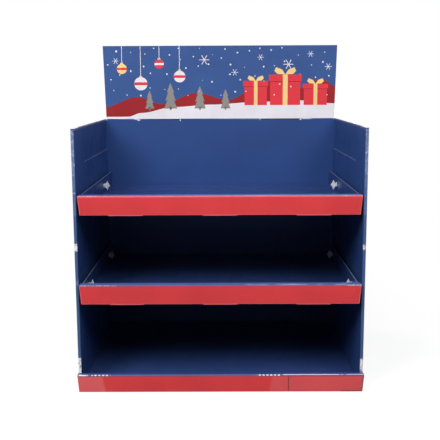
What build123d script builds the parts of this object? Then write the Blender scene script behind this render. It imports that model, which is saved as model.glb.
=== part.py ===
"""Three-tier display stand of printed corrugated board, folded from flat blanks and clipped together."""

import os

from build123d import *

os.makedirs("parts", exist_ok=True)

# Board
board = 3.0  # thickness of the corrugated board
fold_gap = 0.4  # air between the plies of a wall that is folded back on itself
crease_radius = 1.2  # outer rounding of a creased fold
slip = 0.3  # clearance between pieces that slide into each other

# Shell
shell_width = 600.0
shell_depth = 400.0  # front fold to the rear of the hem
shell_height = 552.0
panel_drop = 78.0  # lowered top edge of an inner side panel, below the shell's top
panel_corner = 53.0  # stretch of the inner panel behind the front fold that keeps the full height
panel_slant = 42.0  # run of the slanting cut down to the lowered edge
panel_end_gap = 1.0  # inner panel's rear edge to the back
bottom_flap = 80.0  # reach of the flaps folded in under the base
mitre_gap = 4.0  # room between neighbouring bottom flaps
hem_height = 90.0  # rear leg of the hem along the back's top edge
hem_inset = 8.0  # hem's ends to the shell's sides
hem_taper = 25.0  # each end of the hem's rear leg narrows by this much towards its free edge

# Header card
header_board = 2.0
header_height = 186.0  # card above the shell's top
header_inset = 5.0  # card's lower corners inside the shell's sides
header_flare = 5.0  # each side edge spreads outwards by this much towards the top
header_tab_width = 100.0
header_tab_length = 60.0
header_tab_pitch = 310.0
header_tab_corner = 10.0  # chamfer that leads a tab into its slot

# Base tray
base_lip_height = 37.0
base_lip_depth = 12.0
base_lip_taper = 3.0  # each end of the outer flap narrows by this much towards the ground
seam_offset = 142.0  # butt seam in the outer flap, from the middle
seam_width = 0.8
seam_depth = 0.6

# Hung trays
tray_side_gap = 6.4  # tray's side wall to the shell's inner panel
lip_end_gap = 3.0  # lip's ends to the shell's inner panels
tray_rear_gap = 1.0
lip_height = 42.0
lip_depth = 18.0
lip_taper = 3.5  # each end of the outer flap narrows by this much towards its free edge
corner_gap = 0.8  # die-cut gap between a side wall and the front roll
wall_corner = 6.0  # rounded upper rear corner of a side wall
lock_count = 3  # tabs that tuck the outer flap under the floor
lock_width = 70.0
lock_pitch = 193.0
lock_drop = 2.0  # fold of a tab below the outer flap's free edge
lock_reach = 20.0  # tab's length under the floor
middle_tray_height = 188.0  # underside of the middle tray's lip above the ground
tray_pitch = 185.0
middle_tray_overhang = 10.0  # lip's face ahead of the shell's front fold
top_tray_overhang = 0.0
middle_clip_front = 59.0  # front clips behind the shell's front fold
middle_clip_rear = 77.0  # rear clips ahead of the back
top_clip_front = 35.0
top_clip_rear = 118.0

# Clips
clip_rise = 16.0  # clip's axis above the tray floor
stem_diameter = 4.4
washer_diameter = 12.0
washer_thickness = 1.0
grip_height = 26.0
grip_reach = 14.0
grip_root = 5.0  # height of the grip where it leaves the washer
grip_thickness = 3.0
grip_hollow = 1.0  # how far the grip's sides curve in
grip_draft = 25.0  # slope of the grip's rim, in degrees
bar_length = 13.0  # cross bar that locks behind the shell's wall
bar_thickness = 2.5
bar_bevel = 0.6

# Derived sizes and places; the front faces -Y and the ground is z = 0
wall = 2 * board + fold_gap
overall_depth = base_lip_depth + slip + shell_depth
base_lip_front = -overall_depth / 2
base_lip_rear = base_lip_front + base_lip_depth
shell_front = base_lip_rear + slip
shell_rear = overall_depth / 2
shell_inner_width = shell_width - 2 * wall
header_pocket = header_board + 2 * slip
back_rear = shell_rear - board - header_pocket
back_front = back_rear - board
panel_top = shell_height - panel_drop
panel_bottom = board + slip
hem_width = shell_width - 2 * hem_inset
header_bottom_width = shell_width - 2 * header_inset
header_top_width = header_bottom_width + 2 * header_flare
tray_width = shell_inner_width - 2 * tray_side_gap
tray_inner_width = tray_width - 2 * board
lip_width = shell_inner_width - 2 * lip_end_gap
tray_rear = back_front - tray_rear_gap
top_tray_height = middle_tray_height + tray_pitch
floor_rise = board + slip  # underside of a hung tray's floor above the underside of its lip
slot_length = bar_length + 2 * slip
slot_height = stem_diameter + 2 * slip


def folded_section(plane, *face_points):
    """Section of a sheet folded along the points of its outer face, on the right of their direction."""
    with BuildSketch(plane) as section:
        with BuildLine():
            Polyline(*face_points)
            offset(amount=board, side=Side.RIGHT, kind=Kind.INTERSECTION)
        make_face()
        creases = [section.vertices().sort_by_distance(point)[0] for point in face_points[1:-1]]
        fillet(creases, crease_radius)
    return section.sketch


def end_tapers(plane, half_width, top, bottom, taper):
    """Two slim triangles that narrow a flap from its full width at the top towards its free edge."""
    with BuildSketch(plane) as tapers:
        with BuildLine():
            Polyline((half_width, top), (half_width, bottom), (half_width - taper, bottom), close=True)
        make_face()
        mirror(about=Plane.YZ)
    return tapers.sketch


def clip_points(tray_height, front_setback, rear_setback):
    """Clip axes of one hung tray as (y, z)."""
    axis_height = tray_height + floor_rise + board + clip_rise
    return [(shell_front + front_setback, axis_height), (back_front - rear_setback, axis_height)]


def clip_slots(points):
    """Slots for the clips' cross bars, in the side view."""
    with BuildSketch(Plane.YZ) as slots:
        with Locations(*points):
            SlotOverall(slot_length, slot_height)
    return slots.sketch


middle_clips = clip_points(middle_tray_height, middle_clip_front, middle_clip_rear)
top_clips = clip_points(top_tray_height, top_clip_front, top_clip_rear)

# Shell: back and outer sides in one band, with the front edges folded over by 180 degrees
with BuildPart() as shell:
    band = folded_section(
        Plane.XY,
        (-shell_inner_width / 2, shell_front + wall),
        (-shell_inner_width / 2, shell_front),
        (-shell_width / 2, shell_front),
        (-shell_width / 2, back_rear),
        (shell_width / 2, back_rear),
        (shell_width / 2, shell_front),
        (shell_inner_width / 2, shell_front),
        (shell_inner_width / 2, shell_front + wall),
    )
    extrude(band, amount=shell_height)

    # Inner side panels, lowered behind a slanting cut
    with BuildSketch(Plane.YZ.offset(shell_inner_width / 2)) as inner_panel:
        with BuildLine():
            Polyline(
                (shell_front + board, panel_bottom),
                (shell_front + board, shell_height),
                (shell_front + panel_corner, shell_height),
                (shell_front + panel_corner + panel_slant, panel_top),
                (back_front - panel_end_gap, panel_top),
                (back_front - panel_end_gap, panel_bottom),
                close=True,
            )
        make_face()
    right_panel = extrude(amount=board)
    mirror(right_panel, about=Plane.YZ)

    # Bottom flaps: mitred at the back, square at the front
    flap_root = shell_width / 2 - board
    flap_edge = shell_width / 2 - bottom_flap
    flap_run = flap_root - flap_edge
    with BuildSketch(Plane.XY) as bottom_flaps:
        with BuildLine():
            Polyline(
                (flap_root, shell_front + wall + mitre_gap),
                (flap_root, back_front - mitre_gap),
                (flap_edge, back_front - mitre_gap - flap_run),
                (flap_edge, shell_front + wall + mitre_gap),
                close=True,
            )
        make_face()
        mirror(about=Plane.YZ)
        with BuildLine():
            Polyline(
                (-flap_root + mitre_gap, back_front),
                (flap_root - mitre_gap, back_front),
                (flap_edge - mitre_gap, back_front - flap_run),
                (-flap_edge + mitre_gap, back_front - flap_run),
                close=True,
            )
        make_face()
    extrude(amount=board)

    # Hem over the back's top edge, folded down to the rear, with the pocket for the header card
    hem = folded_section(
        Plane.YZ,
        (back_front, shell_height - hem_height),
        (back_front, shell_height),
        (shell_rear, shell_height),
        (shell_rear, shell_height - hem_height),
    )
    extrude(hem, amount=hem_width / 2, both=True)
    hem_ends = end_tapers(
        Plane.XZ.offset(-shell_rear),
        hem_width / 2,
        shell_height - board,
        shell_height - hem_height,
        hem_taper,
    )
    extrude(hem_ends, amount=board, mode=Mode.SUBTRACT)

    # Header slots across the hem's fold
    slot_rear = shell_rear - board
    with BuildSketch(Plane.XY.offset(shell_height)) as header_slots:
        with Locations((0, (back_front + slot_rear) / 2)):
            with GridLocations(header_tab_pitch, shell_depth, 2, 1):
                Rectangle(header_tab_width + 2 * slip, slot_rear - back_front)
    extrude(amount=-board, mode=Mode.SUBTRACT)

    extrude(clip_slots(middle_clips + top_clips), amount=shell_width, both=True, mode=Mode.SUBTRACT)
shell.part.label = "shell"
export_step(shell.part, "parts/shell.step")

# Base tray: floor on the bottom flaps, rolled lip in front of the shell's folds
with BuildPart() as base_tray:
    base_roll = folded_section(
        Plane.YZ,
        (base_lip_front, 0),
        (base_lip_front, base_lip_height),
        (base_lip_rear, base_lip_height),
        (base_lip_rear, board),
    )
    extrude(base_roll, amount=shell_width / 2, both=True)
    base_face = Plane.XZ.offset(-base_lip_front)
    base_ends = end_tapers(base_face, shell_width / 2, base_lip_height - board, 0, base_lip_taper)
    extrude(base_ends, amount=-board, mode=Mode.SUBTRACT)

    floor_front = base_lip_rear - board
    floor_rear = back_front - slip
    with BuildSketch(Plane.XY.offset(board)) as base_floor:
        with Locations((0, (floor_front + floor_rear) / 2)):
            Rectangle(shell_inner_width - 2 * slip, floor_rear - floor_front)
    extrude(amount=board)

    with BuildSketch(base_face) as seam:
        with Locations((seam_offset, base_lip_height / 2)):
            Rectangle(seam_width, base_lip_height - 2 * board)
    extrude(amount=-seam_depth, mode=Mode.SUBTRACT)
base_tray.part.label = "base_tray"
export_step(base_tray.part, "parts/base_tray.step")


def hung_tray(tray_height, overhang, clips):
    """Tray with upright side walls and a hollow rolled lip, its outer flap tucked under the floor."""
    lip_front = shell_front - overhang
    lip_rear = lip_front + lip_depth
    lip_top = tray_height + lip_height
    free_edge = tray_height + lock_drop
    floor_bottom = tray_height + floor_rise
    with BuildPart() as tray:
        # Front roll: outer flap, top strip and inner wall
        front_roll = folded_section(
            Plane.YZ,
            (lip_front, free_edge),
            (lip_front, lip_top),
            (lip_rear, lip_top),
            (lip_rear, floor_bottom),
        )
        extrude(front_roll, amount=lip_width / 2, both=True)
        lip_face = Plane.XZ.offset(-lip_front)
        flap_ends = end_tapers(lip_face, lip_width / 2, lip_top - board, free_edge, lip_taper)
        extrude(flap_ends, amount=-board, mode=Mode.SUBTRACT)

        # Tabs of the outer flap, folded back under the floor
        for lock in range(lock_count):
            lock_offset = (lock - (lock_count - 1) / 2) * lock_pitch
            lock_tab = folded_section(
                Plane.YZ.offset(lock_offset),
                (lip_rear + lock_reach, tray_height),
                (lip_front, tray_height),
                (lip_front, free_edge + board),
            )
            extrude(lock_tab, amount=lock_width / 2, both=True)

        # Floor with the side walls creased up from its edges
        wall_front = lip_rear + corner_gap
        tray_section = folded_section(
            Plane.XZ.offset(-wall_front),
            (tray_width / 2, lip_top),
            (tray_width / 2, floor_bottom),
            (-tray_width / 2, floor_bottom),
            (-tray_width / 2, lip_top),
        )
        extrude(tray_section, amount=wall_front - tray_rear)
        rear_corners = tray.edges().filter_by(Axis.X).group_by(Axis.Z)[-1].group_by(Axis.Y)[-1]
        fillet(rear_corners, wall_corner)

        # Floor's front stretch, under the lip up to its inner wall
        floor_front = lip_rear - board
        with BuildSketch(Plane.XY.offset(floor_bottom)):
            with Locations((0, (floor_front + wall_front) / 2)):
                Rectangle(tray_width, wall_front - floor_front)
        extrude(amount=board)

        extrude(clip_slots(clips), amount=tray_width, both=True, mode=Mode.SUBTRACT)
    return tray


middle_tray = hung_tray(middle_tray_height, middle_tray_overhang, middle_clips)
middle_tray.part.label = "middle_tray"
export_step(middle_tray.part, "parts/middle_tray.step")

top_tray = hung_tray(top_tray_height, top_tray_overhang, top_clips)
top_tray.part.label = "top_tray"
export_step(top_tray.part, "parts/top_tray.step")

# Header card: its shoulders stand on the hem and its tabs go down behind the back panel
with BuildPart() as header_card:
    with BuildSketch(Plane.XZ.offset(-(back_rear + slip))) as header_outline:
        with BuildLine():
            Polyline(
                (-header_bottom_width / 2, shell_height),
                (-header_top_width / 2, shell_height + header_height),
                (header_top_width / 2, shell_height + header_height),
                (header_bottom_width / 2, shell_height),
                close=True,
            )
        make_face()
        with Locations((0, shell_height - header_tab_length / 2)):
            with GridLocations(header_tab_pitch, header_tab_length, 2, 1):
                Rectangle(header_tab_width, header_tab_length)
        tab_ends = header_outline.vertices().group_by(Axis.Y)[0]
        chamfer(tab_ends, header_tab_corner)
    extrude(amount=-header_board)
header_card.part.label = "header_card"
export_step(header_card.part, "parts/header_card.step")

# Clip: a quarter-turn fastener with a diamond grip, its cross bar turned upright behind the shell's wall
with BuildPart() as clip:
    stem_length = board + tray_side_gap + wall + slip
    tip = washer_thickness + grip_reach / 2
    apex = washer_thickness + grip_reach
    with BuildSketch(Plane.XZ) as grip:
        with BuildLine():
            Line((0, 0), (0, grip_root / 2))
            SagittaArc((0, grip_root / 2), (tip, grip_height / 2), -grip_hollow)
            SagittaArc((tip, grip_height / 2), (apex, 0), -grip_hollow)
            mirror(about=Plane.XZ)
        make_face()
    extrude(amount=grip_thickness / 2, both=True, taper=grip_draft)

    with BuildSketch(Plane.YZ) as washer:
        Circle(washer_diameter / 2)
    extrude(amount=washer_thickness)
    with BuildSketch(Plane.YZ) as stem:
        Circle(stem_diameter / 2)
    extrude(amount=-stem_length)
    with BuildSketch(Plane.YZ.offset(-stem_length)) as cross_bar:
        Rectangle(stem_diameter, bar_length)
    extrude(amount=-bar_thickness)
    chamfer(clip.faces().sort_by(Axis.X)[0].edges(), bar_bevel)

with BuildPart() as shelf_clips:
    clip_places = [
        Location((side * tray_inner_width / 2, y, z), (0, 0, turn))
        for side, turn in ((-1, 0), (1, 180))
        for y, z in middle_clips + top_clips
    ]
    with Locations(*clip_places):
        add(clip.part)
shelf_clips.part.label = "shelf_clips"
export_step(shelf_clips.part, "parts/shelf_clips.step")
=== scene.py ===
import math

import bmesh
import bpy
from mathutils import Matrix, Vector


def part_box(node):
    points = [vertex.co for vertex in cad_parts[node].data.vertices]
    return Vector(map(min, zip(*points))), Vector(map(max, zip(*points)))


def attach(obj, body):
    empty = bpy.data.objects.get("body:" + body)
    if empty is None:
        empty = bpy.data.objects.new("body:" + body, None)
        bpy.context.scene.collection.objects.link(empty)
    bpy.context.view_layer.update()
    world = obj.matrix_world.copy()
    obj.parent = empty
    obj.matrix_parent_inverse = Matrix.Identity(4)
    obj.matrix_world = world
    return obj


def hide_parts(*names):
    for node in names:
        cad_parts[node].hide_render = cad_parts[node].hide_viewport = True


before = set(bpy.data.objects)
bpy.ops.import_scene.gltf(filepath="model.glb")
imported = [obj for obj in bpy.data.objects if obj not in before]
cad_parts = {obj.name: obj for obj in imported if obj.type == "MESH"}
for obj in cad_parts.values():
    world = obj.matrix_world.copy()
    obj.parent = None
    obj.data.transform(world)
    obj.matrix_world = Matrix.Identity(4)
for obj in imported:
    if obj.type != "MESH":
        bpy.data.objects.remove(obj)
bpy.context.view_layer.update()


# Shell: back and two sides in one blank of white-lined corrugated board, offset printed blue on both faces
# and gloss laminated. Die cut, creased, its front edges folded over by 180 degrees so that the sides are
# double, and its bottom flaps and the hem at the back's top edge folded in and glued.
mm = 0.001
touch = 0.05 * mm  # two places this close are the same face
facing = 0.9  # a normal with this much of an axis looks along it
slanting = 0.3  # and with this much, the face at least leans that way
flat = 0.999  # less than this along every axis means a rounded crease
crease_angle = math.radians(30)  # edges that turn by more stay sharp
crease_radius = 1.2 * mm
flute_pitch = 6.5 * mm
flute_bands = math.tau / 20 / flute_pitch  # scale of a wave texture with one band to each flute
drift_width, buckle_width = 90 * mm, 35 * mm  # patches of uneven ink, and of board that isn't quite flat
buckle_share = 1.5  # how far the board buckles, against the height of the flutes' bands
noise_low, noise_high = 0.3, 0.7  # nearly all of a noise texture lies between these
film_rough = 0.34
fibre_width = 2 * mm
flute_share = 0.5  # how much the flutes count against the fibres in a cut edge
rub_width = 7 * mm
print_blue = "2B457A"
fold_blue, stretched_blue = "3B527C", "68759E"
paper_white = "E6E4E6"
core_grey = "A29CA4"
# Painted shade: a darker, bluish copy of the cut edge's liner and core, for the cut edges of the shell's
# inner panels and the trays' walls, which lie in shade.
shaded_liner, shaded_core = "5E6990", "454B62"
shell_low, shell_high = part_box("shell")
hem_half_width = 292 * mm
back_front = 197.55 * mm
panel_top = shell_high.z - 1 * mm  # edges below this belong to the inner panels

# Stretches of the front folds where white shows, in mm above the ground, and how much of it
left_scuffs = [
    (2, 70, 0.95),
    (228, 238, 0.4),
    (300, 315, 0.9),
    (375, 415, 0.22),
    (419, 423, 0.7),
    (427, 452, 0.3),
    (456, 549, 0.46),
]
right_scuffs = [(2, 66, 0.85), (301, 312, 0.75), (375, 426, 0.24), (430, 452, 0.28), (456, 549, 0.42)]
scuff_ease = 1.5  # over how many mm a scuff fades out
top_rub = 5 * mm  # how far down the sides' top edges are rubbed
top_rubs = [(-300, -293.5, 0.55), (293.5, 300, 0.2)]  # across, in mm, and how pale at the edge


def linear(code):
    """Linear RGBA of an sRGB hex colour."""
    parts = [int(code[i : i + 2], 16) / 255 for i in (0, 2, 4)]
    return [c / 12.92 if c <= 0.04045 else ((c + 0.055) / 1.055) ** 2.4 for c in parts] + [1.0]


def set_node(node, settings=None, links=None):
    """A node's settings by attribute, input or ramp stop, and its inputs linked from other sockets."""
    for key, value in (settings or {}).items():
        if key == "stops":
            ramp = node.color_ramp.elements
            ramp.remove(ramp[0])
            ramp[0].position, ramp[0].color = value[0]
            for place, colour in value[1:]:
                ramp.new(place).color = colour
        elif isinstance(key, str) and hasattr(node, key):
            setattr(node, key, value)
        else:
            node.inputs[key].default_value = value
    for key, socket in (links or {}).items():
        node.id_data.links.new(socket, node.inputs[key])
    return node


def add_node(tree, kind, settings=None, links=None):
    """A new node, set and linked."""
    return set_node(tree.nodes.new(kind), settings, links)


def new_finish(name):
    """An empty material with its node tree, its shader and the object's own coordinates."""
    finish = bpy.data.materials.new(name)
    finish.use_nodes = True
    tree = finish.node_tree
    place = add_node(tree, "ShaderNodeTexCoord").outputs["Object"]
    return finish, tree, tree.nodes["Principled BSDF"], place


def span_stops(spans, low, high, ease):
    """Ramp stops that rise to each span's share and fall to nothing between the spans, places in mm."""
    stops = [(low, 0.0)]
    for start, end, share in spans:
        stops += [(start - ease, 0.0), (start, share), (end, share), (end + ease, 0.0)]
    return [((max(low, place) - low) / (high - low), (share, share, share, 1.0)) for place, share in stops]


def spans_across(tree, across, spans, ease, shift=0.0):
    """The spans' shares at each place across the stand, as a socket."""
    reach = shell_high.x / mm
    along = add_node(
        tree,
        "ShaderNodeMapRange",
        {"From Min": shift - shell_high.x, "From Max": shift + shell_high.x},
        {0: across},
    )
    stops = span_stops(spans, -reach, reach, ease)
    return add_node(tree, "ShaderNodeValToRGB", {"stops": stops}, {0: along.outputs[0]}).outputs[0]


def laminated_print(name, ink, pattern=None):
    """Offset ink under a gloss film on corrugated board: even colour with a slight drift in density,
    a soft sheen, and the washboard of the upright flutes showing as faint bands where light grazes it."""
    finish, tree, shader, place = new_finish(name)
    drift = add_node(tree, "ShaderNodeTexNoise", {"Scale": 1 / drift_width, "Detail": 3.0}, {"Vector": place})
    density = add_node(
        tree,
        "ShaderNodeMapRange",
        {"From Min": noise_low, "From Max": noise_high, "To Min": 0.92, "To Max": 1.06},
        {0: drift.outputs[0]},
    )
    colour = add_node(
        tree,
        "ShaderNodeVectorMath",
        {"operation": "SCALE", 0: linear(ink)[:3]},
        {"Scale": density.outputs[0]},
    )
    if pattern:
        axes = add_node(tree, "ShaderNodeSeparateXYZ", links={0: place}).outputs
        set_node(colour, links={0: pattern(tree, place, axes)})
    bands = add_node(
        tree,
        "ShaderNodeTexWave",
        {"bands_direction": "X", "Scale": flute_bands, "Distortion": 0.4, "Detail": 1.0},
        {"Vector": place},
    )
    waves = add_node(
        tree, "ShaderNodeTexNoise", {"Scale": 1 / buckle_width, "Detail": 2.0}, {"Vector": place}
    )
    relief = add_node(
        tree,
        "ShaderNodeMath",
        {"operation": "MULTIPLY_ADD", 1: buckle_share},
        {0: waves.outputs[0], 2: bands.outputs[1]},
    )
    bump = add_node(
        tree, "ShaderNodeBump", {"Strength": 0.2, "Distance": 0.06 * mm}, {"Height": relief.outputs[0]}
    )
    gloss = add_node(
        tree,
        "ShaderNodeMapRange",
        {
            "From Min": noise_low,
            "From Max": noise_high,
            "To Min": film_rough - 0.06,
            "To Max": film_rough + 0.08,
        },
        {0: waves.outputs[0]},
    )
    set_node(
        shader,
        {"IOR": 1.48, "Specular IOR Level": 0.2},
        {"Base Color": colour.outputs[0], "Roughness": gloss.outputs[0], "Normal": bump.outputs[0]},
    )
    return finish


def cut_board(name, liner, core):
    """Die-cut edge of corrugated board: two liners with the fluting between them, so that the edge reads as
    a pale line with a darker spot at each flute."""
    finish, tree, shader, place = new_finish(name)
    axes = add_node(tree, "ShaderNodeSeparateXYZ", links={0: place}).outputs
    run = add_node(tree, "ShaderNodeMath", {"operation": "ADD"}, {0: axes["X"], 1: axes["Y"]})
    phase = add_node(
        tree, "ShaderNodeMath", {"operation": "MULTIPLY", 1: math.tau / flute_pitch}, {0: run.outputs[0]}
    )
    wave = add_node(tree, "ShaderNodeMath", {"operation": "SINE"}, {0: phase.outputs[0]})
    fibre = add_node(tree, "ShaderNodeTexNoise", {"Scale": 1 / fibre_width, "Detail": 3.0}, {"Vector": place})
    mixed = add_node(
        tree,
        "ShaderNodeMath",
        {"operation": "MULTIPLY_ADD", 1: flute_share},
        {0: wave.outputs[0], 2: fibre.outputs[0]},
    )
    flutes = add_node(
        tree,
        "ShaderNodeMapRange",
        {"From Min": 0.5, "From Max": 1.0, "To Min": 0.0, "To Max": 0.8},
        {0: mixed.outputs[0]},
    )
    colour = add_node(
        tree,
        "ShaderNodeMix",
        {"data_type": "RGBA", 6: linear(liner), 7: linear(core)},
        {0: flutes.outputs[0]},
    )
    bump = add_node(
        tree, "ShaderNodeBump", {"Strength": 0.5, "Distance": 0.3 * mm}, {"Height": mixed.outputs[0]}
    )
    set_node(
        shader,
        {"Roughness": 0.9, "Specular IOR Level": 0.15},
        {"Base Color": colour.outputs[2], "Normal": bump.outputs[0]},
    )
    return finish


def rubbed_tops(tree, place, axes):
    """Blue print, rubbed pale along the sides' top edges where boxes are lifted over them."""
    side = spans_across(tree, axes["X"], top_rubs, scuff_ease)
    near = add_node(
        tree,
        "ShaderNodeMapRange",
        {"From Min": shell_high.z - top_rub, "From Max": shell_high.z},
        {0: axes["Z"]},
    )
    worn = add_node(tree, "ShaderNodeMath", {"operation": "MULTIPLY"}, {0: side, 1: near.outputs[0]})
    ink = add_node(
        tree,
        "ShaderNodeMix",
        {"data_type": "RGBA", 6: linear(print_blue), 7: linear(paper_white)},
        {0: worn.outputs[0]},
    )
    return ink.outputs[2]


def scuffed_fold():
    """The shell's front folds: the film is stretched pale over a rounded edge that hands and boxes have
    rubbed, and the white of the side panels' print wraps round it at a few heights."""
    finish, tree, shader, place = new_finish("laminated blue print, scuffed front fold")
    axes = add_node(tree, "ShaderNodeSeparateXYZ", links={0: place}).outputs
    height = add_node(tree, "ShaderNodeMath", {"operation": "DIVIDE", 1: shell_high.z}, {0: axes["Z"]})
    left, right = (
        add_node(
            tree,
            "ShaderNodeValToRGB",
            {"stops": span_stops(spans, 0, shell_high.z / mm, scuff_ease)},
            {0: height.outputs[0]},
        )
        for spans in (left_scuffs, right_scuffs)
    )
    side = add_node(tree, "ShaderNodeMath", {"operation": "GREATER_THAN", 1: 0.0}, {0: axes["X"]})
    share = add_node(
        tree,
        "ShaderNodeMix",
        {"data_type": "RGBA"},
        {0: side.outputs[0], 6: left.outputs[0], 7: right.outputs[0]},
    )
    rub = add_node(
        tree,
        "ShaderNodeTexNoise",
        {"Scale": 1 / rub_width, "Detail": 5.0, "Roughness": 0.7},
        {"Vector": place},
    )
    speckle = add_node(
        tree,
        "ShaderNodeMapRange",
        {"From Min": 0.34, "From Max": 0.66, "To Min": 0.5, "To Max": 1.55},
        {0: rub.outputs[0]},
    )
    worn = add_node(
        tree, "ShaderNodeMath", {"operation": "MULTIPLY"}, {0: share.outputs[2], 1: speckle.outputs[0]}
    )
    colour = add_node(
        tree,
        "ShaderNodeValToRGB",
        {"stops": [(0.0, linear(fold_blue)), (0.5, linear(stretched_blue)), (0.9, linear(paper_white))]},
        {0: worn.outputs[0]},
    )
    bump = add_node(
        tree, "ShaderNodeBump", {"Strength": 0.3, "Distance": 0.2 * mm}, {"Height": rub.outputs[0]}
    )
    set_node(
        shader,
        {"Roughness": 0.45, "Specular IOR Level": 0.3},
        {"Base Color": colour.outputs[0], "Normal": bump.outputs[0]},
    )
    return finish


def creased_print(name, ink, share):
    """The printed film along a fold, stretched and split: the ink breaks up and the white liner shows through
    as a pale broken line."""
    finish, tree, shader, place = new_finish(name)
    splits = add_node(
        tree,
        "ShaderNodeTexNoise",
        {"Scale": 1 / rub_width, "Detail": 4.0, "Roughness": 0.7},
        {"Vector": place},
    )
    bare = add_node(
        tree,
        "ShaderNodeMapRange",
        {"From Min": 0.35, "From Max": 0.7, "To Min": share * 0.4, "To Max": share * 1.6},
        {0: splits.outputs[0]},
    )
    colour = add_node(
        tree,
        "ShaderNodeMix",
        {"data_type": "RGBA", 6: linear(ink), 7: linear(paper_white)},
        {0: bare.outputs[0]},
    )
    bump = add_node(
        tree, "ShaderNodeBump", {"Strength": 0.4, "Distance": 0.2 * mm}, {"Height": splits.outputs[0]}
    )
    set_node(
        shader,
        {"Roughness": 0.45, "Specular IOR Level": 0.3},
        {"Base Color": colour.outputs[2], "Normal": bump.outputs[0]},
    )
    return finish


def folded_board(name, node, finishes, choose):
    """A sheet piece in a CAD node's form, with a finish for each face by where it lies on the sheet."""
    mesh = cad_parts[node].data.copy()
    mesh.name = name
    if "custom_normal" in mesh.attributes:
        mesh.attributes.remove(mesh.attributes["custom_normal"])
    sheet = bmesh.new()
    sheet.from_mesh(mesh)
    bmesh.ops.remove_doubles(sheet, verts=sheet.verts, dist=touch / 10)
    order = list(finishes)
    for face in sheet.faces:
        face.material_index = order.index(choose(face.calc_center_median(), face.normal))
        face.smooth = max(map(abs, face.normal)) < flat  # only the rounded creases
    mesh.materials.clear()
    for finish in finishes.values():
        mesh.materials.append(finish)
    sheet.to_mesh(mesh)
    sheet.free()
    mesh.set_sharp_from_angle(angle=crease_angle)
    piece = bpy.data.objects.new(name, mesh)
    bpy.context.scene.collection.objects.link(piece)
    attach(piece, "root")
    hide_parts(node)
    return piece


cut_edge = cut_board("die-cut board edge", paper_white, core_grey)
# The second cut edge is the same edge painted darker, as painted shade.
shaded_cut_edge = cut_board("die-cut board edge, crushed", shaded_liner, shaded_core)
shell_finishes = {
    "blue": laminated_print("laminated blue print, shell", print_blue, rubbed_tops),
    "fold": scuffed_fold(),
    "cut": cut_edge,
    "shaded_cut": shaded_cut_edge,
    "crease": creased_print("blue print, creased at the hem", print_blue, 0.12),
}


def shell_finish(centre, normal):
    top = centre.z > shell_high.z - crease_radius
    behind = centre.y > back_front - touch
    if centre.y < shell_low.y + crease_radius and normal.z < facing:
        return "fold"
    if behind and top and abs(centre.x) < hem_half_width:
        return "crease"
    if normal.z > slanting and centre.z > shell_high.z / 2:
        return "cut" if centre.z > panel_top else "shaded_cut"
    on_hem = behind and abs(centre.x) < hem_half_width + touch
    return "cut" if on_hem and (normal.z < -facing or abs(normal.x) > facing) else "blue"


shell = folded_board("shell_board", "shell", shell_finishes, shell_finish)


# Side print: flat white ink on the shell's two outer sides under the same film, a low snow drift that runs
# round the front folds and dots of falling snow. Small white spots of the same ink mark the header slots'
# ends.
ink_step = 0.04 * mm
snow_white = "DEDADF"
line_step = 6  # between the points of a drawn line, in mm
dot_sides, smallest_dot = 12, 0.35  # the smallest snow dot is this share of the largest
drift_foot = 0.5  # where the drift's ink begins above the ground, in mm
# The drift's upper edge: places along the side from front to rear and heights, in mm
drift_edge = [(-192.6, 70), (-130, 56), (-40, 74), (50, 50), (130, 66), (204, 54)]
# White spots at the slots' ends: middle across, below the top edge, half width, half height, in mm
slot_spots = [
    (-218, -1.3, 4.5, 0.9),
    (-211, -3.0, 3.6, 2.0),
    (-103.5, -3.6, 1.0, 3.3),
    (103.5, -2.0, 0.9, 2.5),
    (208, -2.4, 2.2, 2.0),
    (224, -1.2, 14, 0.8),
]


def smooth_line(stops):
    """Points along a line that eases from stop to stop, as hills and drifts do."""
    points = []
    for (x0, z0), (x1, z1) in zip(stops, stops[1:]):
        count = max(2, round((x1 - x0) / line_step))
        for i in range(count):
            share = i / count
            eased = (1 - math.cos(math.pi * share)) / 2
            points.append((x0 + (x1 - x0) * share, z0 + (z1 - z0) * eased))
    return points + [stops[-1]]


def round_outline(x, z, across, up, sides=28):
    turns = [math.tau * i / sides for i in range(sides)]
    return [(x + across * math.cos(turn), z + up * math.sin(turn)) for turn in turns]


def ink_field(art, place, outline, ink=0, layer=1):
    """One closed film of ink; place sets a point of the outline, in mm, and its height off the board."""
    outer = [art.verts.new(place(x * mm, z * mm, layer * ink_step)) for x, z in outline]
    inner = [art.verts.new(place(x * mm, z * mm, 0.0)) for x, z in outline]
    faces = [art.faces.new(outer), art.faces.new(inner[::-1])]
    for i in range(len(outline)):
        j = (i + 1) % len(outline)
        faces.append(art.faces.new((outer[j], outer[i], inner[i], inner[j])))
    for face in faces:
        face.material_index = ink


def ink_piece(name, art, finishes):
    """The films drawn so far as one piece of the part."""
    bmesh.ops.recalc_face_normals(art, faces=art.faces)
    mesh = bpy.data.meshes.new(name)
    art.to_mesh(mesh)
    art.free()
    for finish in finishes:
        mesh.materials.append(finish)
    piece = bpy.data.objects.new(name, mesh)
    bpy.context.scene.collection.objects.link(piece)
    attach(piece, "root")


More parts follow.
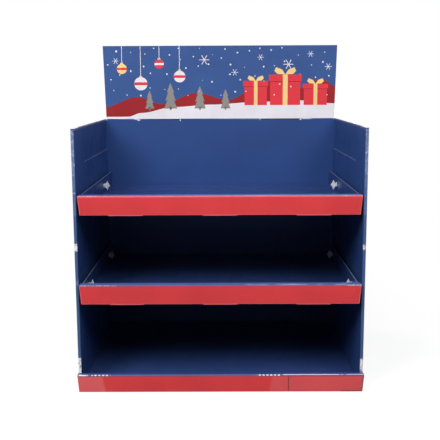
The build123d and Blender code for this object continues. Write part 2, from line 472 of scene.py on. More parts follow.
def snow_scatter():
    """Geometry nodes that strew flat dots of ink over a turned rectangle."""
    tree = bpy.data.node_groups.new("strewn snow dots", "GeometryNodeTree")
    tree.interface.new_socket("Geometry", in_out="OUTPUT", socket_type="NodeSocketGeometry")
    for label, kind in (
        ("Width", "NodeSocketFloat"),
        ("Height", "NodeSocketFloat"),
        ("Middle", "NodeSocketVector"),
        ("Turn", "NodeSocketVector"),
        ("Spacing", "NodeSocketFloat"),
        ("Radius", "NodeSocketFloat"),
        ("Film", "NodeSocketFloat"),
        ("Seed", "NodeSocketInt"),
        ("Finish", "NodeSocketMaterial"),
    ):
        tree.interface.new_socket(label, in_out="INPUT", socket_type=kind)
    size = add_node(tree, "NodeGroupInput").outputs
    sheet = add_node(
        tree,
        "GeometryNodeMeshGrid",
        {"Vertices X": 2, "Vertices Y": 2},
        {"Size X": size["Width"], "Size Y": size["Height"]},
    )
    points = add_node(
        tree,
        "GeometryNodeDistributePointsOnFaces",
        {"distribute_method": "POISSON", "Density Max": 4000.0},
        {"Mesh": sheet.outputs["Mesh"], "Distance Min": size["Spacing"], "Seed": size["Seed"]},
    )
    dot = add_node(
        tree,
        "GeometryNodeMeshCylinder",
        {"Vertices": dot_sides},
        {"Radius": size["Radius"], "Depth": size["Film"]},
    )
    share = add_node(
        tree,
        "FunctionNodeRandomValue",
        {"data_type": "FLOAT", 2: smallest_dot, 3: 1.0},
        {"Seed": size["Seed"]},
    ).outputs[1]
    across = add_node(tree, "ShaderNodeCombineXYZ", {"Z": 1.0}, {"X": share, "Y": share})
    strewn = add_node(
        tree,
        "GeometryNodeInstanceOnPoints",
        links={"Points": points.outputs[0], "Instance": dot.outputs["Mesh"], "Scale": across.outputs[0]},
    )
    placed = add_node(
        tree,
        "GeometryNodeTransform",
        links={"Geometry": strewn.outputs[0], "Translation": size["Middle"], "Rotation": size["Turn"]},
    )
    real = add_node(tree, "GeometryNodeRealizeInstances", links={"Geometry": placed.outputs[0]})
    done = add_node(
        tree, "GeometryNodeSetMaterial", links={"Geometry": real.outputs[0], "Material": size["Finish"]}
    )
    add_node(tree, "NodeGroupOutput", links={0: done.outputs[0]})
    return tree


def strew_snow(name, values):
    """Snow dots as a plain mesh, from the scatter tree with its inputs set by socket identifier."""
    piece = bpy.data.objects.new(name, bpy.data.meshes.new(name))
    bpy.context.scene.collection.objects.link(piece)
    modifier = piece.modifiers.new("snow", "NODES")
    modifier.node_group = snow_tree
    for socket in snow_tree.interface.items_tree:
        if socket.in_out == "INPUT":
            modifier[socket.identifier] = values[socket.name]
    view = bpy.context.evaluated_depsgraph_get()
    mesh = bpy.data.meshes.new_from_object(piece.evaluated_get(view))
    piece.modifiers.clear()
    piece.data = mesh
    mesh.name = name
    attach(piece, "root")


snow_tree = snow_scatter()
snow_ink = laminated_print("laminated print, snow white", snow_white)
drift = smooth_line(drift_edge)
side_art = bmesh.new()
for side in (-1, 1):
    ink_field(
        side_art,
        lambda y, z, out: (side * (shell_high.x + out), y, z),
        [(drift[0][0], drift_foot), *drift, (drift[-1][0], drift_foot)],
    )
for x, z, across, up in slot_spots:
    ink_field(
        side_art,
        lambda u, v, out: (u, back_front - out, shell_high.z + v),
        round_outline(x, z, across, up, 10),
    )
ink_piece("side_print", side_art, [snow_ink])
for side, label in ((-1, "left"), (1, "right")):
    strew_snow(
        f"side_snow_{label}",
        {
            "Width": 440 * mm,
            "Height": 376 * mm,
            "Middle": (side * (shell_high.x + ink_step / 2), 6 * mm, 315 * mm),
            "Turn": (0.0, math.pi / 2, 0.0),
            "Spacing": 38 * mm,
            "Radius": 4.0 * mm,
            "Film": ink_step,
            "Seed": 11,
            "Finish": snow_ink,
        },
    )


# Base tray: a blank whose floor lies on the shell's bottom flaps; its front is creased up into a rolled lip
# that stands before the shell's front folds. Blue print inside, red print on the outer flap, and clear tape
# over both ends of the lip.
print_red = "CD3C40"
# Painted shade: the trays' blue is a darker copy of the print blue, for trays' floors that catch more light
# than the back.
shaded_tray_blue = "2C4074"
fold_purple = "8E4A6C"
# Painted highlight: a lighter copy of the blue print for the tops of the lips' folds and the trays' lip
# creases, where they catch the light.
highlit_blue = "4A6094"
kraft_brown = "B0906A"
# Painted highlight: the pale colour of patches where the lips' folds catch the light.
highlight_pale = "D4CBE4"
# The first red is painted light: a lighter copy of the print red, for the base lip near the ground where less
# light falls.
lit_base_red, taped_pink, seam_red, end_shade_red = "D43F43", "DC6B6E", "8A3238", "4A1E28"
base_low, base_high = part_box("base_tray")
# The lip's upper fold. Inks: from and to what distance round the fold, in mm, the print turns to which ink.
# Cracks and highlights: stretches across, in mm, and how much of the white liner or of the painted highlight
# shows
# there. Rows: how far the cracks bunch up in step with the pitch. The painted highlight's depth is in mm,
# from the fold inwards, and its least is what it falls to between its patches.
base_fold = {
    "inks": [(-4.6, -2.6, fold_purple), (-1.0, 0.4, highlit_blue), (2.0, 4.0, shaded_tray_blue)],
    "cracks": [(-297, -282, 0.9), (-268, -234, 0.56), (79, 124, 0.56)],
    "rows": 0.3,
    "highlights": [(132, 249, 1.0), (260, 299, 0.75)],
    "highlight_depth": 2.6,
    "highlight_least": 0.8,
}
crack_pitch = 8 * mm
crack_core, crack_fade = 1.4 * mm, 2.6 * mm  # cracks are full this near to the fold, and end this far off it
crack_start, crack_full = 0.6, 0.95  # share and splits add up to these where cracks begin and are whole
split_width, split_share = 12 * mm, 0.5  # splits in the film, and how much they add to a crack's share
span_ease, tape_ease = 5, 3  # over how many mm cracks and painted highlights fade out, and the tape's ends
rag = 20 * mm  # how far the painted highlights' ends wander to either side
liner_fibre, band_share = 1.5 * mm, 0.25  # bare liner: its fibres, and how much the flutes show among them
inner_face = 4 * mm  # the front flap's rear face lies nearer to the front than this
sideways = 0.5  # a cut end leans, so this much of X in its normal is enough
square = 0.99  # less than this along both Y and Z means a rounded fold
crosswise = 0.2  # and less of X than this, one that runs across the lip
tape_lean = 0.2  # the tape's ends lean by this much of their height
tape_spans = [(-305, -242.5, 0.62), (103.5, 305, 0.36)]  # across, in mm, and how pale
seam_place, seam_half_width = 142 * mm, 0.9 * mm
base_taper = 3 / 34  # how much the lip's ends lean inwards towards the ground
# Painted shade on the base lip: the line beyond which its right end is painted dark, and where a dark strip
# along its lower edge starts and how high it reaches.
end_shade_line, edge_shade_start, edge_shade_height = 295.2 * mm, 252 * mm, 1.8 * mm


def bare_liner(name, paper):
    """Unprinted liner: matt paper with pale and dark fibres, and the flutes showing as faint bands."""
    finish, tree, shader, place = new_finish(name)
    fibre = add_node(
        tree,
        "ShaderNodeTexNoise",
        {"Scale": 1 / liner_fibre, "Detail": 5.0, "Roughness": 0.65},
        {"Vector": place},
    )
    bands = add_node(
        tree,
        "ShaderNodeTexWave",
        {"bands_direction": "X", "Scale": flute_bands, "Distortion": 0.6},
        {"Vector": place},
    )
    shade = add_node(
        tree,
        "ShaderNodeMath",
        {"operation": "MULTIPLY_ADD", 1: band_share},
        {0: bands.outputs[1], 2: fibre.outputs[0]},
    )
    tone = add_node(
        tree,
        "ShaderNodeMapRange",
        {"From Min": 0.3, "From Max": 0.95, "To Min": 0.82, "To Max": 1.15},
        {0: shade.outputs[0]},
    )
    colour = add_node(
        tree, "ShaderNodeVectorMath", {"operation": "SCALE", 0: linear(paper)[:3]}, {"Scale": tone.outputs[0]}
    )
    bump = add_node(
        tree, "ShaderNodeBump", {"Strength": 0.3, "Distance": 0.15 * mm}, {"Height": shade.outputs[0]}
    )
    set_node(
        shader,
        {"Roughness": 0.85, "Specular IOR Level": 0.2},
        {"Base Color": colour.outputs[0], "Normal": bump.outputs[0]},
    )
    return finish


def lip_pattern(front, top, look, red):
    """A lip's print as it wraps the upper fold: red turns to a blend of both inks and then to blue. The film
    on the fold has split into cracks where white liner shows. The lighter blue on the fold's top, the top
    lip's pink and the pale patches beside the cracks are painted highlights, where the fold catches the
    light."""

    def pattern(tree, place, axes):
        wrap = add_node(tree, "ShaderNodeMath", {"operation": "ADD"}, {0: axes["Y"], 1: axes["Z"]})
        wrap = add_node(
            tree, "ShaderNodeMath", {"operation": "SUBTRACT", 1: front + top}, {0: wrap.outputs[0]}
        )
        ink = red(tree, axes)
        for start, end, after in look["inks"]:
            turn = add_node(
                tree,
                "ShaderNodeMapRange",
                {"From Min": start * mm, "From Max": end * mm},
                {0: wrap.outputs[0]},
            )
            blend = add_node(
                tree, "ShaderNodeMix", {"data_type": "RGBA", 7: linear(after)}, {0: turn.outputs[0], 6: ink}
            )
            ink = blend.outputs[2]
        splits = add_node(
            tree,
            "ShaderNodeTexNoise",
            {"Scale": 1 / split_width, "Detail": 4.0, "Roughness": 0.7},
            {"Vector": place},
        )
        ragged = add_node(
            tree,
            "ShaderNodeMath",
            {"operation": "MULTIPLY_ADD", 1: 2 * rag},
            {0: splits.outputs[0], 2: axes["X"]},
        )
        # Painted highlights: pale patches along the fold where it catches the light.
        highlights = spans_across(tree, ragged.outputs[0], look["highlights"], span_ease, rag)
        share = spans_across(tree, axes["X"], look["cracks"], span_ease)
        depth = look["highlight_depth"] * mm
        aside = add_node(
            tree, "ShaderNodeMath", {"operation": "SUBTRACT", 1: depth / 2}, {0: wrap.outputs[0]}
        )
        aside = add_node(tree, "ShaderNodeMath", {"operation": "ABSOLUTE"}, {0: aside.outputs[0]})
        on_fold = add_node(
            tree,
            "ShaderNodeMapRange",
            {"From Min": depth / 4, "From Max": depth / 2 + mm, "To Min": 1.0, "To Max": 0.0},
            {0: aside.outputs[0]},
        )
        patchy = add_node(
            tree,
            "ShaderNodeMapRange",
            {"From Min": 0.35, "From Max": 0.65, "To Min": look["highlight_least"], "To Max": 1.3},
            {0: splits.outputs[0]},
        )
        highlit_patches = add_node(tree, "ShaderNodeMath", {"operation": "MULTIPLY"}, {0: highlights, 1: on_fold.outputs[0]})
        highlit_patches = add_node(
            tree, "ShaderNodeMath", {"operation": "MULTIPLY"}, {0: highlit_patches.outputs[0], 1: patchy.outputs[0]}
        )
        # The ink with the painted highlights mixed in.
        rubbed = add_node(
            tree, "ShaderNodeMix", {"data_type": "RGBA", 7: linear(highlight_pale)}, {0: highlit_patches.outputs[0], 6: ink}
        )
        phase = add_node(
            tree, "ShaderNodeMath", {"operation": "MULTIPLY", 1: math.tau / crack_pitch}, {0: axes["X"]}
        )
        wave = add_node(tree, "ShaderNodeMath", {"operation": "SINE"}, {0: phase.outputs[0]})
        spread = add_node(
            tree,
            "ShaderNodeMath",
            {"operation": "MULTIPLY_ADD", 1: look["rows"]},
            {0: wave.outputs[0], 2: share},
        )
        uneven = add_node(
            tree,
            "ShaderNodeMath",
            {"operation": "MULTIPLY_ADD", 1: split_share},
            {0: splits.outputs[0], 2: spread.outputs[0]},
        )
        bare = add_node(
            tree,
            "ShaderNodeMapRange",
            {"From Min": crack_start, "From Max": crack_full, "To Max": 0.95},
            {0: uneven.outputs[0]},
        )
        off = add_node(tree, "ShaderNodeMath", {"operation": "ABSOLUTE"}, {0: wrap.outputs[0]})
        near = add_node(
            tree,
            "ShaderNodeMapRange",
            {"From Min": crack_core, "From Max": crack_fade, "To Min": 1.0, "To Max": 0.0},
            {0: off.outputs[0]},
        )
        cracks = add_node(
            tree, "ShaderNodeMath", {"operation": "MULTIPLY"}, {0: bare.outputs[0], 1: near.outputs[0]}
        )
        colour = add_node(
            tree,
            "ShaderNodeMix",
            {"data_type": "RGBA", 7: linear(paper_white)},
            {0: cracks.outputs[0], 6: rubbed.outputs[2]},
        )
        return colour.outputs[2]

    return pattern


def taped_red(tree, axes):
    """The base lip's red, a lighter copy of the print red as painted light: paler under the tape, with a dark
    butt seam, and painted shade along its right end and along its lower edge on the right.
    """
    side = add_node(tree, "ShaderNodeMath", {"operation": "SIGN"}, {0: axes["X"]})
    lean = add_node(tree, "ShaderNodeMath", {"operation": "MULTIPLY", 1: -tape_lean}, {0: axes["Z"]})
    leaning = add_node(
        tree,
        "ShaderNodeMath",
        {"operation": "MULTIPLY_ADD"},
        {0: lean.outputs[0], 1: side.outputs[0], 2: axes["X"]},
    )
    tape = spans_across(tree, leaning.outputs[0], tape_spans, tape_ease)
    taped = add_node(
        tree, "ShaderNodeMix", {"data_type": "RGBA", 6: linear(lit_base_red), 7: linear(taped_pink)}, {0: tape}
    )
    seam = add_node(
        tree, "ShaderNodeMath", {"operation": "COMPARE", 1: seam_place, 2: seam_half_width}, {0: axes["X"]}
    )
    slope = add_node(
        tree,
        "ShaderNodeMath",
        {"operation": "MULTIPLY_ADD", 1: -base_taper},
        {0: axes["Z"], 2: axes["X"]},
    )
    # Painted shade: the lip's right end and its lower edge on the right are painted dark.
    end = add_node(
        tree, "ShaderNodeMath", {"operation": "GREATER_THAN", 1: end_shade_line}, {0: slope.outputs[0]}
    )
    low = add_node(tree, "ShaderNodeMath", {"operation": "LESS_THAN", 1: edge_shade_height}, {0: axes["Z"]})
    right = add_node(tree, "ShaderNodeMath", {"operation": "GREATER_THAN", 1: edge_shade_start}, {0: axes["X"]})
    corner = add_node(
        tree, "ShaderNodeMath", {"operation": "MULTIPLY"}, {0: low.outputs[0], 1: right.outputs[0]}
    )
    painted_shade = add_node(
        tree, "ShaderNodeMath", {"operation": "MAXIMUM"}, {0: end.outputs[0], 1: corner.outputs[0]}
    )
    ink = taped.outputs[2]
    for where, after in ((seam, seam_red), (painted_shade, end_shade_red)):
        marked = add_node(
            tree, "ShaderNodeMix", {"data_type": "RGBA", 7: linear(after)}, {0: where.outputs[0], 6: ink}
        )
        ink = marked.outputs[2]
    return ink


def tray_finishes(number, print_on_lip):
    return {
        "blue": laminated_print(f"laminated blue print, tray {number}", shaded_tray_blue),
        "lip": laminated_print(f"laminated red and blue print, lip {number}", print_red, print_on_lip),
        # The trays' lip creases: white cracks in the film over the lighter blue, which is a painted
        # highlight.
        "crease": creased_print(f"blue print, creased, tray {number}", highlit_blue, 0.25),
        "cut": cut_edge,
        "shaded_cut": shaded_cut_edge,
        "kraft": bare_liner(f"kraft liner, tray {number}", kraft_brown),
    }


def base_finish(centre, normal):
    at_front = centre.y < base_low.y + crease_radius
    if max(abs(normal.y), abs(normal.z)) < square and abs(normal.x) < crosswise:
        return "lip" if at_front else "crease"
    if normal.y < -facing and at_front:
        return "lip"
    if abs(normal.x) > sideways:
        return "cut"
    if normal.z < -facing or (normal.y > facing and centre.y < base_low.y + inner_face):
        return "kraft"
    if normal.y > facing and centre.y > 0:
        return "cut"
    return "lip" if normal.z > facing and centre.z > base_high.z - touch else "blue"


base_print = lip_pattern(base_low.y, base_high.z, base_fold, taped_red)
base_tray = folded_board("base_tray_board", "base_tray", tray_finishes(1, base_print), base_finish)


# Middle and top trays: blanks with single side walls creased up from the floor and a hollow rolled lip at the
# front, the outer flap locked by three tabs tucked under the floor. Blue print inside, red print on the lip's
# outer flap, bare kraft liner outside.
board = 3 * mm
lip_depth = 18 * mm
lock_drop = 2 * mm
# Painted highlight: a lighter pink red for the front of the top lip's fold, where it catches the light.
highlight_pink = "E06A78"
rubbed_red = "E3A3A8"
flap_height = 37  # of the lips' outer flaps, in mm
hung_taper = 3.5 / flap_height  # how much the lips' ends lean inwards towards the free edge
end_rub, foot_rub = 1.4 * mm, 0.6 * mm  # how far in the cut ends and the lower fold are rubbed
rub_share = 0.25
slight = 0.1  # a cut edge's normal has at least this much of its own axis
# The highlight stretches and the lighter inks in these folds are painted highlights.
middle_fold = {
    "inks": [(-3.5, -1.0, fold_purple), (-0.5, 1.0, highlit_blue)],
    "cracks": [(-290, -215, 0.4), (262, 290, 0.45)],
    "rows": 0.04,
    "highlights": [(56, 99, 0.16), (120, 176, 0.36), (199, 208, 0.3), (243, 259, 0.36)],
    "highlight_depth": 9,
    "highlight_least": 0.3,
}
top_fold = {
    "inks": [(-4.0, -2.0, highlight_pink), (-0.5, 1.0, highlit_blue)],
    "cracks": [(-290, -252, 0.4), (250, 290, 0.36)],
    "rows": 0.04,
    "highlights": [(60, 120, 0.25)],
    "highlight_depth": 3,
    "highlight_least": 0.3,
}


def edged_red(half_width, foot):
    """A hung lip's red, rubbed pale along its cut ends and its lower fold."""
    end_line = half_width - flap_height * mm * hung_taper - foot * hung_taper - end_rub

    def red(tree, axes):
        out = add_node(tree, "ShaderNodeMath", {"operation": "ABSOLUTE"}, {0: axes["X"]})
        slope = add_node(
            tree,
            "ShaderNodeMath",
            {"operation": "MULTIPLY_ADD", 1: -hung_taper},
            {0: axes["Z"], 2: out.outputs[0]},
        )
        end = add_node(
            tree, "ShaderNodeMath", {"operation": "GREATER_THAN", 1: end_line}, {0: slope.outputs[0]}
        )
        low = add_node(tree, "ShaderNodeMath", {"operation": "LESS_THAN", 1: foot + foot_rub}, {0: axes["Z"]})
        worn = add_node(
            tree, "ShaderNodeMath", {"operation": "MAXIMUM"}, {0: end.outputs[0], 1: low.outputs[0]}
        )
        share = add_node(
            tree, "ShaderNodeMath", {"operation": "MULTIPLY", 1: rub_share}, {0: worn.outputs[0]}
        )
        ink = add_node(
            tree,
            "ShaderNodeMix",
            {"data_type": "RGBA", 6: linear(print_red), 7: linear(rubbed_red)},
            {0: share.outputs[0]},
        )
        return ink.outputs[2]

    return red


def hung_tray(name, node, number, fold):
    low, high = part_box(node)
    lip_front, lip_rear, lip_top = low.y, low.y + lip_depth, high.z

    def tray_finish(centre, normal):
        at_front = centre.y < lip_front + crease_radius
        inward = normal.x * centre.x < 0
        if centre.y > lip_rear + touch:  # floor and side walls
            if normal.z < -facing and centre.z < low.z + touch:
                return "lip"
            if abs(normal.x) > slight:
                return "blue" if inward else "kraft"
            on_top = normal.z > slight and centre.z > lip_top - lip_depth
            if normal.y > slight or abs(normal.y) > facing or on_top:
                return "shaded_cut"
            return "blue" if normal.z > 0 else "kraft"
        if abs(normal.x) > sideways:
            return "cut"
        slanted = max(abs(normal.y), abs(normal.z)) < square
        if slanted and centre.z > lip_top - crease_radius - touch:
            return "lip" if at_front else "crease"
        if at_front and (slanted or normal.y < -facing):
            return "lip"
        if normal.z < -facing and centre.z < low.z + touch:
            return "lip"
        if normal.z < -facing and centre.z < low.z + lock_drop + touch and centre.y < lip_front + board:
            return "cut"
        if normal.z > facing:
            return "lip" if centre.z > lip_top - touch else "blue"
        return "blue" if normal.y > facing and centre.y > lip_rear - touch else "kraft"

    red = edged_red(high.x, low.z + lock_drop)
    finishes = tray_finishes(number, lip_pattern(lip_front, lip_top, fold, red))
    piece = folded_board(name, node, finishes, tray_finish)


hung_tray("middle_tray_board", "middle_tray", 2, middle_fold)
hung_tray("top_tray_board", "top_tray", 3, top_fold)


# Shelf clips: quarter-turn fasteners injection moulded in natural polypropylene, a diamond grip on a round
# washer. They pin each hung tray's side walls to the shell's double sides.
milky_grey, milky_white = "C9CDD6", "E4E6EC"
cloud_width = 4 * mm


def moulded_polypropylene():
    """Unpigmented polypropylene: milky, lets some light through, with the fine satin of a moulding tool."""
    finish, tree, shader, place = new_finish("natural polypropylene, moulded")
    cloud = add_node(tree, "ShaderNodeTexNoise", {"Scale": 1 / cloud_width, "Detail": 2.0}, {"Vector": place})
    tone = add_node(
        tree,
        "ShaderNodeMix",
        {"data_type": "RGBA", 6: linear(milky_grey), 7: linear(milky_white)},
        {0: cloud.outputs[0]},
    )
    gloss = add_node(
        tree,
        "ShaderNodeMapRange",
        {"From Min": noise_low, "From Max": noise_high, "To Min": 0.28, "To Max": 0.42},
        {0: cloud.outputs[0]},
    )
    set_node(
        shader,
        {"IOR": 1.49, "Transmission Weight": 0.1, "Specular IOR Level": 0.25},
        {"Base Color": tone.outputs[2], "Roughness": gloss.outputs[0]},
    )
    return finish


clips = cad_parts["shelf_clips"]
clips.data.materials.clear()
clips.data.materials.append(moulded_polypropylene())


# Header card: a single sheet of micro-flute board, printed on the front with a winter scene in flat colours
# above a bare white margin, die cut with two tabs that drop behind the back panel through slots in the hem.
header_low, header_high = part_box("header_card")
# The second colour is painted shade: dark navy on the tabs' fronts where they lie in shade inside the slots.
sky_blue, slot_shade_ink, back_white = "375287", "141C36", "D6D2CB"
margin = 5.5  # bare strip at the card's foot, in mm
slot_shade_depth = 0.5 * mm  # painted shade: the tabs' fronts are painted dark below this, inside the slots


def sky_pattern(tree, place, axes):
    """Sky above the margin, white card below it, and painted shade on the tabs inside the slots."""
    above_margin, above_slot = (
        add_node(tree, "ShaderNodeMath", {"operation": "GREATER_THAN", 1: level}, {0: axes["Z"]})
        for level in (shell_high.z + margin * mm, shell_high.z - slot_shade_depth)
    )
    foot = add_node(
        tree,
        "ShaderNodeMix",
        {"data_type": "RGBA", 6: linear(slot_shade_ink), 7: linear(snow_white)},
        {0: above_slot.outputs[0]},
    )
    card = add_node(
        tree,
        "ShaderNodeMix",
        {"data_type": "RGBA", 7: linear(sky_blue)},
        {0: above_margin.outputs[0], 6: foot.outputs[2]},
    )
    return card.outputs[2]


header_finishes = {
    "front": laminated_print("laminated print, header sky", sky_blue, sky_pattern),
    "cut": cut_edge,
    "back": bare_liner("white back liner", back_white),
}


def header_finish(centre, normal):
    if normal.y < -facing:
        return "front"
    return "back" if normal.y > facing else "cut"


header = folded_board("header_card_board", "header_card", header_finishes, header_finish)


# Header print: the scene's flat colours, each a film of ink laid over the one before it. A row of hills, a
# snow drift, wrapped boxes, firs and hanging baubles, drawn as plain fields with smooth edges.
# Places across the card and up it from the shell's top edge, and sizes, all in mm
hill_ridge = [(-300, 30), (-215, 56), (-150, 38), (-60, 66), (20, 48)]
hill_ridge += [(120, 96), (190, 74), (262, 100), (300, 80)]
drift_line = [(-238, margin), (-205, 15), (-120, 30), (-20, 36), (90, 42), (200, 46), (296, 38)]
wrapped_boxes = [(92, 58, 62), (168, 78, 78), (246, 60, 54)]  # middle, width, height
firs = [(-182, 24, 46), (-128, 34, 66), (-52, 30, 58), (14, 26, 50)]  # middle, width, height
baubles = [  # middle, drop from the top edge, radius, ink
    (-252, 58, 13, "cream"),
    (-204, 96, 17, "snow"),
    (-156, 46, 12, "bright"),
    (-104, 78, 15, "snow"),
]
snowflakes = [  # middle across, middle up, radius
    (-268, 148, 8),
    (-40, 150, 13),
    (38, 118, 9),
    (104, 156, 8),
    (176, 138, 13),
    (232, 164, 8),
    (278, 132, 9),
]
box_foot, fir_foot = 34, 26  # how far up the card these stand
lid_overhang, lid_share, shadow_share = 3, 0.22, 0.02  # shares of a box's height
ribbon_share = 0.08  # half a ribbon, of the box's width
trunk_half, trunk_part = 4, 14  # half a trunk's height, and the fir's width over half the trunk's
string_half, string_end = 0.7, 0.5  # half a bauble's string, and how far below the top edge it starts
cap_half, cap_sink, cap_rise = 3, 1, 3  # half a bauble's cap, and its reach below and above the bauble's top
band_part = 0.22  # half a bauble's band, of its radius
flake_bars, bar_half = 3, 0.07  # a snowflake's crossing bars, and half a bar's width, of the radius
card_height = (header_high.z - shell_high.z) / mm
card_foot, card_flare = 295, 5  # half width at the shell's top, and what the top edge adds to it
print_inks = {"hill": "922529", "snow": snow_white, "bright": "D63A44", "cream": "EBC884", "grey": "8A8580"}
fir_half = [(0.5, 0.0), (0.24, 0.34), (0.4, 0.3), (0.17, 0.66), (0.29, 0.62)]  # of the width, of the height
bow_loop = [(0, 0), (0.1, 0.16), (0.3, 0.24), (0.36, 0.12), (0.26, 0.02)]
header_art = bmesh.new()


def header_field(outline, ink, layer):
    ink_field(
        header_art,
        lambda u, v, out: (u, header_low.y - out, shell_high.z + v),
        outline,
        list(print_inks).index(ink),
        layer,
    )


def header_bar(x0, z0, x1, z1, ink, layer):
    header_field([(x0, z0), (x1, z0), (x1, z1), (x0, z1)], ink, layer)


def on_card(x, z):
    half = card_foot + card_flare * z / card_height
    return max(-half, min(half, x)), z


foot_line = [on_card(x, margin) for x in (hill_ridge[0][0], hill_ridge[-1][0])]
header_field([foot_line[0], *(on_card(x, z) for x, z in smooth_line(hill_ridge)), foot_line[1]], "hill", 1)
header_field([*smooth_line(drift_line), foot_line[1]], "snow", 2)
for middle, width, height in firs:
    half = width / trunk_part
    header_bar(middle - half, fir_foot - trunk_half, middle + half, fir_foot + trunk_half, "grey", 3)
    crown = [*fir_half, (0.0, 1.0), *((-u, v) for u, v in reversed(fir_half))]
    header_field([(middle + u * width, fir_foot + v * height) for u, v in crown], "grey", 3)
for middle, width, height in wrapped_boxes:
    half, top = width / 2, box_foot + height
    lid = top - height * lid_share
    left, right = middle - half - lid_overhang, middle + half + lid_overhang
    header_bar(middle - half, box_foot, middle + half, top, "bright", 3)
    header_bar(left, lid, right, top, "bright", 4)
    header_bar(left, lid - height * shadow_share, right, lid, "hill", 5)
    header_bar(middle - width * ribbon_share, box_foot, middle + width * ribbon_share, top, "cream", 6)
    for side in (-1, 1):
        header_field([(middle + side * u * width, top + v * width) for u, v in bow_loop], "cream", 6)
for middle, drop, radius, ink in baubles:
    hang = card_height - drop
    head = hang + radius
    header_bar(middle - string_half, head, middle + string_half, card_height - string_end, "snow", 3)
    header_bar(middle - cap_half, head - cap_sink, middle + cap_half, head + cap_rise, "cream", 4)
    header_field(round_outline(middle, hang, radius, radius), ink, 3)
    band = band_part * radius
    reach = math.sqrt(radius**2 - band**2)
    band_ink = "snow" if ink == "bright" else "bright"
    header_bar(middle - reach, hang - band, middle + reach, hang + band, band_ink, 4)
for x, z, radius in snowflakes:
    for bar in range(flake_bars):
        turn = math.pi * bar / flake_bars
        ray = Vector((math.cos(turn), math.sin(turn)))
        side = Vector((-math.sin(turn), math.cos(turn)))
        corners = [(-1, -bar_half), (1, -bar_half), (1, bar_half), (-1, bar_half)]
        header_field([Vector((x, z)) + radius * (u * ray + v * side) for u, v in corners], "snow", 2 + bar)
header_inks = [laminated_print(f"laminated print, header {ink}", code) for ink, code in print_inks.items()]
ink_piece("header_print", header_art, header_inks)
strew_snow(
    "header_snow",
    {
        "Width": 580 * mm,
        "Height": 122 * mm,
        "Middle": (0.0, header_low.y - 2 * ink_step, shell_high.z + 120 * mm),
        "Turn": (math.pi / 2, 0.0, 0.0),
        "Spacing": 24 * mm,
        "Radius": 2.4 * mm,
        "Film": 4 * ink_step,
        "Seed": 7,
        "Finish": snow_ink,
    },
)


# Studio: a plain pale floor, three softboxes in an arc before the stand with the left one brightest, two low
# ones behind it, and a weak soft dome above.
floor_reach = 6.0
floor_z = -0.5 * mm
floor_grey, floor_white = "606060", "F4F4F4"  # as the floor lights the stand, and as it is seen
shadow_reach, white_reach = 0.5, 1.2  # metres from the middle: shadows show within these
stand_middle = (0, 0, 0.35)
softboxes = [  # place, width and height in metres, and watts
    ("softbox_left", (-1.25, -1.49, 2.09), 1.0, 1.6, 57.0),
    ("softbox_front", (0.0, -1.84, 2.19), 1.0, 1.0, 22.0),
    ("softbox_right", (1.25, -1.49, 2.09), 1.0, 1.6, 29.0),
    ("softbox_rear_left", (-1.9, 1.5, 1.0), 1.2, 0.9, 40.0),
    ("softbox_rear_right", (1.9, 1.5, 1.0), 1.2, 0.9, 40.0),
]
dome_foot, dome_head = 0.2, 0.7  # the dome brightens between these heights of a unit sphere


def seen_rays(tree):
    """Whether a ray shows what it meets: from the camera itself, by reflection or through a clear piece."""
    path = add_node(tree, "ShaderNodeLightPath").outputs
    seen = path["Is Camera Ray"]
    for kind in ("Is Glossy Ray", "Is Transmission Ray"):
        seen = add_node(tree, "ShaderNodeMath", {"operation": "MAXIMUM"}, {0: seen, 1: path[kind]}).outputs[0]
    return seen


def pale_floor():
    """White paper sweep that is seen as white, a little darker in the object's shadow."""
    finish, tree, shader, place = new_finish("white paper floor")
    seen = seen_rays(tree)
    shade = add_node(
        tree,
        "ShaderNodeMix",
        {"data_type": "RGBA", 6: linear(floor_grey), 7: linear(floor_white)},
        {0: seen},
    )
    set_node(shader, {"Roughness": 0.95, "Specular IOR Level": 0.0}, {"Base Color": shade.outputs[2]})
    glow = add_node(tree, "ShaderNodeEmission", {"Color": (1, 1, 1, 1), "Strength": 1.0})
    away = add_node(tree, "ShaderNodeVectorMath", {"operation": "LENGTH"}, {0: place})
    reach = add_node(
        tree,
        "ShaderNodeMapRange",
        {"From Min": shadow_reach, "From Max": white_reach, "To Min": 0.75, "To Max": 1.0},
        {0: away.outputs["Value"]},
    )
    lift = add_node(tree, "ShaderNodeMath", {"operation": "MULTIPLY"}, {0: seen, 1: reach.outputs[0]})
    mix = add_node(
        tree, "ShaderNodeMixShader", links={0: lift.outputs[0], 1: shader.outputs[0], 2: glow.outputs[0]}
    )
    set_node(tree.nodes["Material Output"], links={"Surface": mix.outputs[0]})
    return finish


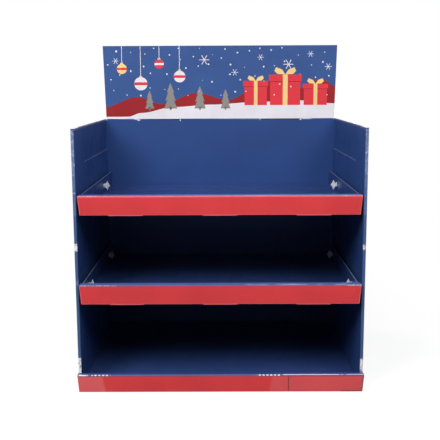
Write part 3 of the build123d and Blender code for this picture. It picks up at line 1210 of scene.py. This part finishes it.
floor_mesh = bpy.data.meshes.new("floor")
corners = [(x * floor_reach, y * floor_reach, floor_z) for x, y in ((-1, -1), (1, -1), (1, 1), (-1, 1))]
floor_mesh.from_pydata(corners, [], [(0, 1, 2, 3)])
floor_mesh.materials.append(pale_floor())
floor = bpy.data.objects.new("floor", floor_mesh)
bpy.context.scene.collection.objects.link(floor)

for name, place, width, height, watts in softboxes:
    lamp = bpy.data.lights.new(name, "AREA")
    lamp.shape = "RECTANGLE"
    lamp.size, lamp.size_y, lamp.energy = width, height, watts
    box = bpy.data.objects.new(name, lamp)
    box.location = place
    box.rotation_euler = (Vector(stand_middle) - Vector(place)).to_track_quat("-Z", "Y").to_euler()
    bpy.context.scene.collection.objects.link(box)

world = bpy.data.worlds.new("studio dome")
bpy.context.scene.world = world
world.use_nodes = True
sky = world.node_tree
direction = add_node(sky, "ShaderNodeTexCoord").outputs["Generated"]
height = add_node(sky, "ShaderNodeSeparateXYZ", links={0: direction})
dome = add_node(
    sky,
    "ShaderNodeMapRange",
    {"From Min": dome_foot, "From Max": dome_head, "To Min": 0.02, "To Max": 0.13},
    {0: height.outputs[2]},
)
seen = seen_rays(sky)
level = add_node(sky, "ShaderNodeMix", {"data_type": "FLOAT", 3: 1.0}, {0: seen, 2: dome.outputs[0]})
set_node(sky.nodes["Background"], {"Color": (1, 1, 1, 1)}, {"Strength": level.outputs[0]})


# Camera: fitted to the photograph's corners, its lens shifted towards the ground so that the uprights lean
# only a little. The photograph's own shift is larger and would cut the header off in views from other sides.
camera_place = Vector((0.0057, -1.5245, 0.6372))
pitch, yaw, roll = 7.785, -0.224, -0.249  # degrees
camera_data = bpy.data.cameras.new("camera")
camera_data.sensor_width = 36
camera_data.lens = 54.27
camera_data.shift_y = -0.10
camera = bpy.data.objects.new("camera", camera_data)
camera.matrix_world = (
    Matrix.Translation(camera_place)
    @ Matrix.Rotation(math.radians(-yaw), 4, "Z")
    @ Matrix.Rotation(math.radians(90 - pitch), 4, "X")
    @ Matrix.Rotation(math.radians(roll), 4, "Z")
)
bpy.context.scene.collection.objects.link(camera)
bpy.context.scene.camera = camera
bpy.context.scene.view_settings.view_transform = "Standard"
